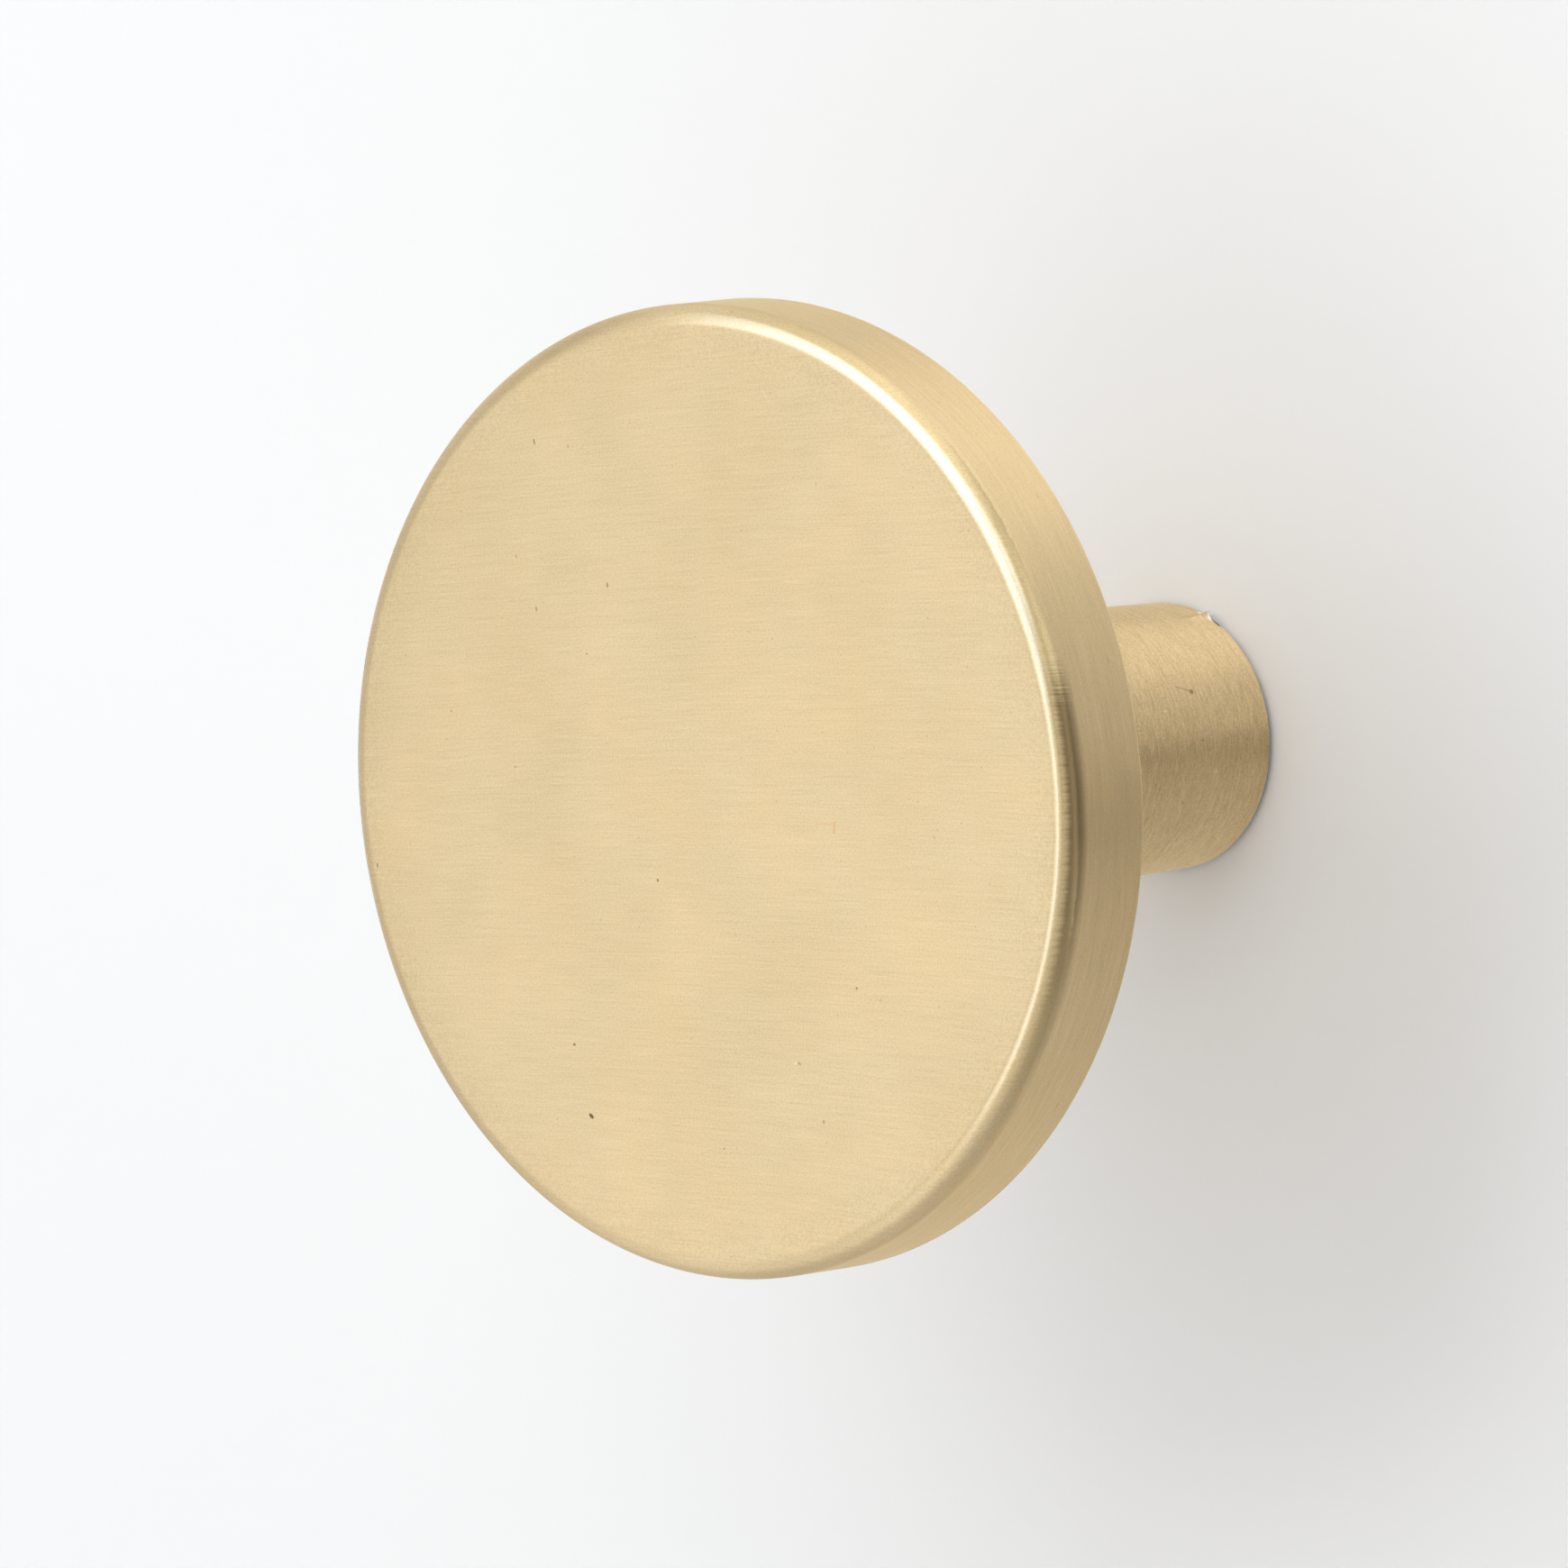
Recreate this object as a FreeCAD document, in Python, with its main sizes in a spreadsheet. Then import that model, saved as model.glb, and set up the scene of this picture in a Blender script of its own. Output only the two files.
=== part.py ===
import FreeCAD, Part
import math
import os

import Sketcher

# Cabinet knob: a thick round disc on a slightly tapered stem, turned as one piece of solid brass.
# Millimetres. The turning axis is Y and +Z is up. The stem's end face, which seats on the drawer
# front, lies in the plane y = 0 round the origin, and the disc's face looks towards -Y.

# alias, value, what it is
DRIVING_SIZES = [
    ("head_diameter", 40.0, "disc across its rim"),
    ("head_thickness", 4.65, "disc, face to back"),
    ("projection", 29.25, "drawer front to the disc's face"),
    ("face_edge_radius", 1.0, "round between the face and the rim"),
    ("back_edge_radius", 0.3, "round between the rim and the disc's back"),
    ("stem_root_diameter", 12.4, "stem where it meets the disc's back"),
    ("stem_foot_diameter", 11.2, "stem at the drawer front"),
    ("stem_root_radius", 0.5, "fillet between the stem and the disc's back"),
    ("foot_edge_break", 0.12, "small bevel round the stem's end face"),
    ("thread_diameter", 4.0, "screw thread, outside"),
    ("thread_pitch", 0.7, "screw thread, turn to turn"),
    ("thread_hole_depth", 13.0, "full width of the screw hole, from the end face"),
    ("thread_lead_in", 0.15, "countersink beyond the thread, on the radius"),
    ("countersink_angle", 120.0, "mouth of the screw hole, degrees across"),
    ("drill_point_angle", 118.0, "blind end of the screw hole, degrees across"),
]


def add_size_sheet(doc):
    sheet = doc.addObject("Spreadsheet::Sheet", "Sizes")
    for row, (alias, value, meaning) in enumerate(DRIVING_SIZES, start=1):
        sheet.set(f"A{row}", alias)
        sheet.set(f"B{row}", str(value))
        sheet.set(f"C{row}", meaning)
        sheet.setAlias(f"B{row}", alias)
    doc.recompute()
    return sheet


def origin_plane(body, role):
    return next(feature for feature in body.Origin.OriginFeatures if feature.Role == role)


def add_sketch(body, name, role):
    sketch = body.newObject("Sketcher::SketchObject", name)
    sketch.AttachmentSupport = [(origin_plane(body, role), "")]
    sketch.MapMode = "FlatFace"
    return sketch


def add_dimension(sketch, name, kind, refs, expression):
    """Adds a dimension that the sheet drives. Its first value is the expression's own."""
    value = sketch.evalExpression(expression)
    index = sketch.addConstraint(Sketcher.Constraint(kind, *refs, float(value)))
    sketch.renameConstraint(index, name)
    sketch.setExpression(f"Constraints.{name}", expression)


def draw_turned_profile(sketch, sheet):
    """Half of the knob's section, in the XY plane, with the turning axis as its left side."""
    foot = sheet.stem_foot_diameter / 2
    root = sheet.stem_root_diameter / 2
    rim = sheet.head_diameter / 2
    back = -(sheet.projection - sheet.head_thickness)
    face = -sheet.projection
    corners = [(0, 0), (foot, 0), (root, back), (rim, back), (rim, face), (0, face)]

    end_face, stem, disc_back, disc_rim, disc_face, axis = range(len(corners))
    for start, end in zip(corners, corners[1:] + corners[:1]):
        first, last = FreeCAD.Vector(*start, 0), FreeCAD.Vector(*end, 0)
        sketch.addGeometry(Part.LineSegment(first, last), False)

    start_point, end_point, origin = 1, 2, (-1, 1)
    for line in range(len(corners)):
        following = (line + 1) % len(corners)
        sketch.addConstraint(
            Sketcher.Constraint("Coincident", line, end_point, following, start_point)
        )
    for line in (end_face, disc_back, disc_face):
        sketch.addConstraint(Sketcher.Constraint("Horizontal", line))
    for line in (disc_rim, axis):
        sketch.addConstraint(Sketcher.Constraint("Vertical", line))
    sketch.addConstraint(Sketcher.Constraint("Coincident", end_face, start_point, *origin))

    across = [
        ("foot_radius", end_face, "Sizes.stem_foot_diameter / 2"),
        ("root_radius", stem, "Sizes.stem_root_diameter / 2"),
        ("rim_radius", disc_back, "Sizes.head_diameter / 2"),
    ]
    for name, line, expression in across:
        refs = (*origin, line, end_point)
        add_dimension(sketch, name, "DistanceX", refs, expression)
    thickness_refs = (disc_rim, end_point, disc_rim, start_point)
    add_dimension(sketch, "thickness", "DistanceY", thickness_refs, "Sizes.head_thickness")
    reach_refs = (disc_face, end_point, *origin)
    add_dimension(sketch, "reach", "DistanceY", reach_refs, "Sizes.projection")


def circle_edge(shape, radius, height):
    """Name of the turned edge with this radius, at this place along the Y axis."""
    for number, edge in enumerate(shape.Edges, start=1):
        curve = edge.Curve
        if not isinstance(curve, Part.Circle):
            continue
        if math.isclose(curve.Radius, radius, abs_tol=1e-4) and math.isclose(
            curve.Center.y, height, abs_tol=1e-4
        ):
            return f"Edge{number}"
    raise RuntimeError(f"no turned edge of radius {radius} at y = {height}")


def add_edge_feature(body, kind, name, base, edge, size_property, expression):
    feature = body.newObject(kind, name)
    feature.Base = (base, [edge])
    feature.setExpression(size_property, expression)
    return feature


def turn_knob(doc, body, sheet):
    """Revolves the section, then rounds its four corners."""
    profile = add_sketch(body, "TurnedProfile", "XY_Plane")
    draw_turned_profile(profile, sheet)
    doc.recompute()

    blank = body.newObject("PartDesign::Revolution", "TurnedBlank")
    blank.Profile = profile
    blank.ReferenceAxis = (profile, ["V_Axis"])
    blank.Angle = 360
    doc.recompute()

    rim = sheet.head_diameter / 2
    root = sheet.stem_root_diameter / 2
    foot = sheet.stem_foot_diameter / 2
    back = -(sheet.projection - sheet.head_thickness)
    fillet, chamfer = "PartDesign::Fillet", "PartDesign::Chamfer"
    corners = [
        (fillet, "FaceEdgeRound", rim, -sheet.projection, "Radius", "face_edge_radius"),
        (fillet, "BackEdgeRound", rim, back, "Radius", "back_edge_radius"),
        (fillet, "StemRootFillet", root, back, "Radius", "stem_root_radius"),
        (chamfer, "FootEdgeBreak", foot, 0, "Size", "foot_edge_break"),
    ]
    tip = blank
    for kind, name, radius, height, size_property, alias in corners:
        edge = circle_edge(tip.Shape, radius, height)
        tip = add_edge_feature(body, kind, name, tip, edge, size_property, f"Sizes.{alias}")
        doc.recompute()
    return tip


def drill_screw_hole(doc, body):
    """Blind tapping hole up the stem, with a countersunk mouth. It is as wide as the thread's crests."""
    outline = add_sketch(body, "ScrewHoleCentre", "XZ_Plane")
    circle = Part.Circle(FreeCAD.Vector(0, 0, 0), FreeCAD.Vector(0, 0, 1), 1)
    outline.addGeometry(circle, False)
    outline.addConstraint(Sketcher.Constraint("Coincident", 0, 3, -1, 1))
    crest_width = "Sizes.thread_diameter - Sizes.thread_pitch"
    add_dimension(outline, "crest_width", "Diameter", (0,), crest_width)
    doc.recompute()

    hole = body.newObject("PartDesign::Hole", "ScrewHole")
    hole.Profile = outline
    hole.DepthType = "Dimension"
    hole.DrillPoint = "Angled"
    hole.HoleCutType = "Countersink"
    hole.HoleCutCustomValues = True
    # the XZ plane's normal points along -Y, so an unreversed hole would leave the stem
    hole.Reversed = True
    hole.setExpression("Diameter", crest_width)
    hole.setExpression("Depth", "Sizes.thread_hole_depth")
    hole.setExpression("DrillPointAngle", "Sizes.drill_point_angle")
    hole.setExpression("HoleCutDiameter", "Sizes.thread_diameter + 2 * Sizes.thread_lead_in")
    hole.setExpression("HoleCutCountersinkAngle", "Sizes.countersink_angle")
    doc.recompute()
    return hole


def check_document(doc):
    for item in doc.Objects:
        if "Invalid" in item.State or "Error" in item.State:
            raise RuntimeError(f"{item.Name} failed to compute: {item.State}")


def check_solid(shape):
    if shape.isNull() or not shape.isValid() or len(shape.Solids) != 1:
        raise RuntimeError("the knob isn't one valid solid")


def build_knob():
    doc = FreeCAD.newDocument("CabinetKnob")
    sheet = add_size_sheet(doc)
    knob = doc.addObject("PartDesign::Body", "Knob")
    knob.Label = "knob"

    solid_blank = turn_knob(doc, knob, sheet)
    blank_volume = solid_blank.Shape.Volume
    hole = drill_screw_hole(doc, knob)
    knob.Tip = hole
    doc.recompute()

    check_document(doc)
    check_solid(knob.Shape)
    bore_radius = (sheet.thread_diameter - sheet.thread_pitch) / 2
    straight_bore = math.pi * bore_radius**2 * sheet.thread_hole_depth
    if knob.Shape.Volume > blank_volume - straight_bore:
        raise RuntimeError("the screw hole took too little out of the stem")
    return knob


def main():
    knob = build_knob()
    os.makedirs("parts", exist_ok=True)
    knob.Shape.exportStep(f"parts/{knob.Label}.step")
    box = knob.Shape.optimalBoundingBox(False)
    print(f"{knob.Label}: {box.XLength:.2f} x {box.YLength:.2f} x {box.ZLength:.2f} mm")
    print(f"volume {knob.Shape.Volume:.1f} mm3, {len(knob.Shape.Faces)} faces")


main()
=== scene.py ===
import math
from types import SimpleNamespace

import bmesh
import bpy
from mathutils import Matrix, Vector
from mathutils.geometry import delaunay_2d_cdt


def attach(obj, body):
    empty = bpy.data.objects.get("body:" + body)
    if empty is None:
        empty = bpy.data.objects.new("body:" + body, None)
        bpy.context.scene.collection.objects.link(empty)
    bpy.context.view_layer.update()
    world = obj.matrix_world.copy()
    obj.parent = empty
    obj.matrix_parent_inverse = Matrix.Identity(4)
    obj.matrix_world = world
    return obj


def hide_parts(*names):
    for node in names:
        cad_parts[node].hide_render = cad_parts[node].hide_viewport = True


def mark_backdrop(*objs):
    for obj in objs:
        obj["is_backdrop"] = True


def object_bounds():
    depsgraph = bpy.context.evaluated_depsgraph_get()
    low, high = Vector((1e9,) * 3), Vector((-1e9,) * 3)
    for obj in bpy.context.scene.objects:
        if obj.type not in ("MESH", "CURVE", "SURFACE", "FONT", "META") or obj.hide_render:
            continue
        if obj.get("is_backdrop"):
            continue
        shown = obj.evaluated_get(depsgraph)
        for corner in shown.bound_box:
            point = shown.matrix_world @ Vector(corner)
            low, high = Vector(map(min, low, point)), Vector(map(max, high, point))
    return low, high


# A brushed brass cabinet knob on a white wall. Lengths are written in millimetres and scaled by MM.
# The turning axis is Y, the wall is the plane y = 0, the face looks towards -Y and +Z is up.

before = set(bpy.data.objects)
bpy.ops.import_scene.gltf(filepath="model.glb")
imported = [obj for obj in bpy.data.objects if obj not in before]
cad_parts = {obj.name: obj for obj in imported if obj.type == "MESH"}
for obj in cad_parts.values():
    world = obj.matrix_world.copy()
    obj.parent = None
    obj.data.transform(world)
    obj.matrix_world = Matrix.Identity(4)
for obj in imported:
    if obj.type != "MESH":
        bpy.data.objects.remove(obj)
cad_low, cad_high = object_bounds()

MM = 0.001

# The turned form. The first two come from the bounds of the pieces in model.glb.
HEAD_RADIUS = cad_high.x / MM
PROJECTION = -cad_low.y / MM
HEAD_THICKNESS = 4.65
FACE_ROUND = 1.0
# Polishing has softened the face beyond this radius. It sinks by FACE_SINK times the distance squared.
FACE_FLAT_RADIUS = 16.5
FACE_SINK = 0.008
FACE_EDGE_SINK = FACE_SINK * (HEAD_RADIUS - FACE_ROUND - FACE_FLAT_RADIUS) ** 2
FACE_EDGE_LEAN = math.degrees(2 * FACE_SINK * (HEAD_RADIUS - FACE_ROUND - FACE_FLAT_RADIUS))
BACK_ROUND = 0.3
HEAD_BACK = HEAD_THICKNESS - PROJECTION
STEM_ROOT_RADIUS = 6.2
STEM_FOOT_RADIUS = 5.6
ROOT_FILLET = 0.5
# Wear has widened the bevel round the stem's end face
FOOT_BEVEL = 0.22

# The M4 screw hole, with its thread, which fades out over its last THREAD_FADE
THREAD_PITCH = 0.7
CREST_RADIUS = 1.65
ROOT_RADIUS = 2.0
MOUTH_RADIUS = 2.15
COUNTERSINK_HALF_ANGLE = math.radians(60)
HOLE_DEPTH = 13.0
THREAD_DEPTH = 11.0
THREAD_FADE = 1.4
DRILL_HALF_ANGLE = math.radians(59)
# Where the thread's flat root ends and its flat crest starts and ends, in turns after the root starts
ROOT_END = 0.125
CREST_START = 0.414
CREST_END = 0.711
# Where one turn of the thread has its points
THREAD_PHASES = (0.0, 0.0625, ROOT_END, 0.27, CREST_START, 0.5625, CREST_END, 0.8555)

# Edges with a sharper bend than this are drawn sharp
SHARP_ANGLE = math.radians(32)
# In metres: points of the face nearer than the first are one, and so are those of the mesh nearer than
# the second. Edges shorter than the third are taken out.
SAME_POINT = 1e-9
MERGE_DISTANCE = 1e-7
SHORTEST_EDGE = 1e-8

# Steps round the turned surfaces and round the hole. The first is a multiple of the second.
AROUND = 360
AROUND_HOLE = 72
# Steps along the section
FACE_ROUND_STEPS = 18
SMALL_ROUND_STEPS = 8
RIM_STEPS = 4
BACK_STEPS = 5
STEM_STEPS = 24
# A straight run has an extra point this near to each end, as a share of the run, to keep its shading flat
RIM_END = 0.01
BACK_END = 0.004
STEM_END = 0.002


def arc(centre, radius, start, end, steps):
    """Points of a round in the section, as (radius, y), with angles in degrees."""
    points = []
    for step in range(steps + 1):
        angle = math.radians(start + (end - start) * step / steps)
        points.append(
            (centre[0] + radius * math.cos(angle), centre[1] + radius * math.sin(angle))
        )
    return points


def line(start, end, steps, closeness):
    """Points between two ends of the section, the first and the last at the share closeness from them."""
    shares = [closeness] + [step / steps for step in range(1, steps)] + [1 - closeness]
    return [
        (start[0] + (end[0] - start[0]) * share, start[1] + (end[1] - start[1]) * share)
        for share in shares
    ]


def turned_section():
    """The section from the edge of the flat face, round the rim and down the stem, to its end face."""
    round_centre = (HEAD_RADIUS - FACE_ROUND, FACE_ROUND - PROJECTION + FACE_EDGE_SINK)
    face_round = arc(round_centre, FACE_ROUND, FACE_EDGE_LEAN - 90, 0, FACE_ROUND_STEPS)
    back_centre = (HEAD_RADIUS - BACK_ROUND, HEAD_BACK - BACK_ROUND)
    back_round = arc(back_centre, BACK_ROUND, 0, 90, SMALL_ROUND_STEPS)
    taper = (STEM_ROOT_RADIUS - STEM_FOOT_RADIUS) / -HEAD_BACK
    stem_normal = Vector((1, taper)).normalized()
    fillet_centre = (
        STEM_ROOT_RADIUS + ROOT_FILLET * (1 - stem_normal.y) / stem_normal.x,
        HEAD_BACK + ROOT_FILLET,
    )
    fillet_end = -180 + math.degrees(math.atan2(stem_normal.y, stem_normal.x))
    root_fillet = arc(fillet_centre, ROOT_FILLET, -90, fillet_end, SMALL_ROUND_STEPS)
    bevel_start = (STEM_FOOT_RADIUS + taper * FOOT_BEVEL, -FOOT_BEVEL)
    bevel_end = (STEM_FOOT_RADIUS - FOOT_BEVEL, 0.0)
    return (
        face_round
        + line(face_round[-1], back_round[0], RIM_STEPS, RIM_END)
        + back_round
        + line(back_round[-1], root_fillet[0], BACK_STEPS, BACK_END)
        + root_fillet
        + line(root_fillet[-1], bevel_start, STEM_STEPS, STEM_END)
        + [bevel_start, bevel_end]
    )


def turned_point(radius, y, angle):
    return Vector((radius * math.cos(angle), y, radius * math.sin(angle))) * MM


# A small burr on the edge of the stem's end: degrees round from +X, degrees to each side, how far it
# stands out, and how far up the stem it reaches
BURR_ANGLE = 67
BURR_SPREAD = 2.2
BURR_HEIGHT = 0.26
BURR_REACH = 1.5 * FOOT_BEVEL


def burr(y, degrees):
    """How far the burr stands out of the stem's side."""
    if y < -BURR_REACH:
        return 0.0
    return BURR_HEIGHT * max(0.0, 1 - abs(degrees - BURR_ANGLE) / BURR_SPREAD)


def revolve(mesh, section):
    """Rings of quads round the axis. Returns the first and the last ring."""
    rings = []
    for radius, y in section:
        ring = []
        for step in range(AROUND):
            degrees = 360 * step / AROUND
            place = turned_point(radius + burr(y, degrees), y, math.radians(degrees))
            ring.append(mesh.verts.new(place))
        rings.append(ring)
    for near, far in zip(rings, rings[1:]):
        for step in range(AROUND):
            following = (step + 1) % AROUND
            mesh.faces.new((near[step], near[following], far[following], far[step]))
    return rings[0], rings[-1]


def face_sink(radius):
    """How far polishing has let the face sink at this radius."""
    return FACE_SINK * max(0.0, radius - FACE_FLAT_RADIUS) ** 2


# Rings of points near the face's edge: distance in from the edge, and number of points
EDGE_RINGS = ((0.03, AROUND), (0.3, 180), (0.7, 180), (1.2, 180), (1.8, 180))
# Points of the ring round the flat part, and the radii of the rings inside it as shares of the edge's.
# Those have fewer points by the same shares.
FLAT_RING_POINTS = 150
FLAT_RING_SHARES = (0.75, 0.6, 0.45, 0.3, 0.15)


def face_ring_points():
    """Points on rings that thin out towards the face's centre."""
    edge_radius = HEAD_RADIUS - FACE_ROUND
    rings = [(edge_radius - inset, count) for inset, count in EDGE_RINGS]
    rings.append((FACE_FLAT_RADIUS, FLAT_RING_POINTS))
    rings += [(edge_radius * share, int(FLAT_RING_POINTS * share)) for share in FLAT_RING_SHARES]
    points = []
    for radius, count in rings:
        for step in range(count):
            angle = 2 * math.pi * (step + 0.5) / count
            points.append(Vector((math.cos(angle), math.sin(angle))) * radius * MM)
    return points


def fill_face(mesh, rim):
    """The face inside the ring rim, with its pits. The brown of the pits is kept as the tarnish layer."""
    points = [Vector((vertex.co.x, vertex.co.z)) for vertex in rim] + face_ring_points()
    pits = {}
    kept_edges = []
    for *shape, depth, brown in FACE_PITS:
        first = len(points) + 1
        for point, fall, stain in pit_points(*shape):
            pits[len(points)] = (fall * depth, stain * brown)
            points.append(point)
        for ring in range(len(PIT_RINGS)):
            corners = [first + ring * PIT_STEPS + step for step in range(PIT_STEPS)]
            kept_edges += zip(corners, corners[1:] + corners[:1])
    tarnish = mesh.verts.layers.float["tarnish"]
    made, _, triangles, sources, _, _ = delaunay_2d_cdt(points, kept_edges, [], 0, SAME_POINT)
    vertices = []
    for point, source in zip(made, sources):
        if source[0] < len(rim):
            vertices.append(rim[source[0]])
            continue
        depth, stain = pits.get(source[0], (0.0, 0.0))
        y = (-PROJECTION + face_sink(point.length / MM) + depth) * MM
        vertex = mesh.verts.new((point.x, y, point.y))
        vertex[tarnish] = stain
        vertices.append(vertex)
    for triangle in triangles:
        mesh.faces.new([vertices[index] for index in triangle])


# Pits in the face: x, z, width, height, lean in degrees, depth, and how brown the inside is.
# The first is the large one near the bottom.
FACE_PITS = [
    (-6.4, -13.7, 0.30, 0.17, -35, 0.07, 1.0),
    (-9.1, 14.0, 0.09, 0.30, 15, 0.03, 0.6),
    (-7.2, 13.9, 0.09, 0.13, 0, 0.02, 0.5),
    (-5.1, 8.3, 0.10, 0.24, 5, 0.02, 0.6),
    (6.5, 13.0, 0.10, 0.20, 0, 0.02, 0.3),
    (-9.1, 7.1, 0.09, 0.22, 10, 0.02, 0.5),
    (-2.5, -3.7, 0.13, 0.13, 0, 0.03, 0.6),
    (-7.3, -10.8, 0.15, 0.13, 0, 0.03, 0.7),
    (8.4, -7.4, 0.12, 0.12, 0, 0.03, 0.5),
    (-18.4, -4.1, 0.10, 0.22, 0, 0.03, 0.5),
    (5.2, -10.7, 0.22, 0.12, -20, 0.03, 0.4),
    (6.5, -13.0, 0.12, 0.18, 0, 0.03, 0.3),
    (12.7, -1.0, 0.12, 0.20, 20, 0.02, 0.3),
    (15.7, -2.7, 0.10, 0.18, 0, 0.02, 0.2),
    (9.7, -7.8, 0.14, 0.10, 30, 0.02, 0.2),
    (-10.2, 9.2, 0.12, 0.20, 10, 0.02, 0.2),
    (-6.3, 5.4, 0.10, 0.10, 0, 0.02, 0.5),
    (2.7, 6.8, 0.10, 0.10, 0, 0.02, 0.5),
    (-14.0, 2.6, 0.08, 0.12, 0, 0.02, 0.4),
    (-10.4, 0.5, 0.10, 0.08, 0, 0.02, 0.4),
    (1.0, -14.5, 0.11, 0.10, 0, 0.02, 0.4),
]

# Rings of a pit, from its floor outwards: share of its width, share of its depth, and share of its brown.
# The last two are flat and keep the shading round it true.
PIT_STEPS = 12
PIT_RINGS = ((0.35, 0.85, 1.0), (0.7, 0.4, 0.95), (0.9, 0.08, 0.7), (1.0, 0.0, 0.25), (1.25, 0.0, 0.0))


def pit_points(x, z, width, height, lean):
    """The points of one small open bowl, each with its share of the depth and of the brown."""
    centre = Vector((x, z))
    points = [(centre * MM, 1.0, 1.0)]
    turn = Matrix.Rotation(math.radians(lean), 2)
    for share, fall, stain in PIT_RINGS:
        for step in range(PIT_STEPS):
            angle = 2 * math.pi * step / PIT_STEPS
            reach = Vector((width * math.cos(angle), height * math.sin(angle))) * share / 2
            points.append(((centre + turn @ reach) * MM, fall, stain))
    return points


def hole_radius(depth, phase):
    """Radius of the threaded hole at a depth, phase turns after a thread root starts."""
    cone = MOUTH_RADIUS - depth * math.tan(COUNTERSINK_HALF_ANGLE)
    if phase <= ROOT_END:
        groove = 1.0
    elif phase < CREST_START:
        groove = (CREST_START - phase) / (CREST_START - ROOT_END)
    elif phase <= CREST_END:
        groove = 0.0
    else:
        groove = (phase - CREST_END) / (1 - CREST_END)
    fade = min(1.0, max(0.0, (THREAD_DEPTH - depth) / THREAD_FADE))
    thread = CREST_RADIUS + (ROOT_RADIUS - CREST_RADIUS) * groove * fade
    return max(cone, thread)


def thread_hole(mesh, end_face_ring):
    """The end face, the threaded wall, the plain end of the hole and its drill point."""
    turns = math.ceil(THREAD_DEPTH / THREAD_PITCH) + 1
    rows = [(turn, phase) for turn in range(turns) for phase in THREAD_PHASES]
    lattice = []
    for turn, phase in rows:
        row = []
        for step in range(AROUND_HOLE + 1):
            share = step / AROUND_HOLE
            depth = (turn + phase - 1 + share) * THREAD_PITCH
            depth = min(max(depth, 0.0), THREAD_DEPTH)
            point = turned_point(hole_radius(depth, phase), -depth, 2 * math.pi * share)
            row.append(mesh.verts.new(point))
        lattice.append(row)
    for near, far in zip(lattice, lattice[1:]):
        for step in range(AROUND_HOLE):
            mesh.faces.new((near[step], near[step + 1], far[step + 1], far[step]))

    rings = []
    angles = [2 * math.pi * step / AROUND_HOLE for step in range(AROUND_HOLE)]
    for radius, y in ((MOUTH_RADIUS, 0.0), (CREST_RADIUS, -THREAD_DEPTH), (CREST_RADIUS, -HOLE_DEPTH)):
        rings.append([mesh.verts.new(turned_point(radius, y, angle)) for angle in angles])
    mouth, thread_end, shoulder = rings
    tip_depth = HOLE_DEPTH + CREST_RADIUS / math.tan(DRILL_HALF_ANGLE)
    tip = mesh.verts.new(turned_point(0, -tip_depth, 0))
    outer_steps = AROUND // AROUND_HOLE
    for step in range(AROUND_HOLE):
        following = (step + 1) % AROUND_HOLE
        mesh.faces.new((thread_end[step], thread_end[following], shoulder[following], shoulder[step]))
        mesh.faces.new((shoulder[step], shoulder[following], tip))
        first = step * outer_steps
        outer = [end_face_ring[(first + offset) % AROUND] for offset in range(outer_steps + 1)]
        mesh.faces.new([mouth[following], mouth[step]] + outer)


def add_object(name, data):
    made = bpy.data.objects.new(name, data)
    bpy.context.scene.collection.objects.link(made)
    return made


def make_knob():
    """The whole turned piece as one closed mesh."""
    mesh = bmesh.new()
    mesh.verts.layers.float.new("tarnish")
    face_edge, end_face_ring = revolve(mesh, turned_section())
    fill_face(mesh, face_edge)
    thread_hole(mesh, end_face_ring)
    bmesh.ops.remove_doubles(mesh, verts=mesh.verts, dist=MERGE_DISTANCE)
    bmesh.ops.dissolve_degenerate(mesh, edges=mesh.edges, dist=SHORTEST_EDGE)
    bmesh.ops.triangulate(mesh, faces=[face for face in mesh.faces if len(face.verts) > 4])
    bmesh.ops.recalc_face_normals(mesh, faces=mesh.faces)
    data = bpy.data.meshes.new("brass_knob")
    mesh.to_mesh(data)
    mesh.free()
    data.shade_smooth()
    data.set_sharp_from_angle(angle=SHARP_ANGLE)
    return add_object("brass_knob", data)


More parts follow.
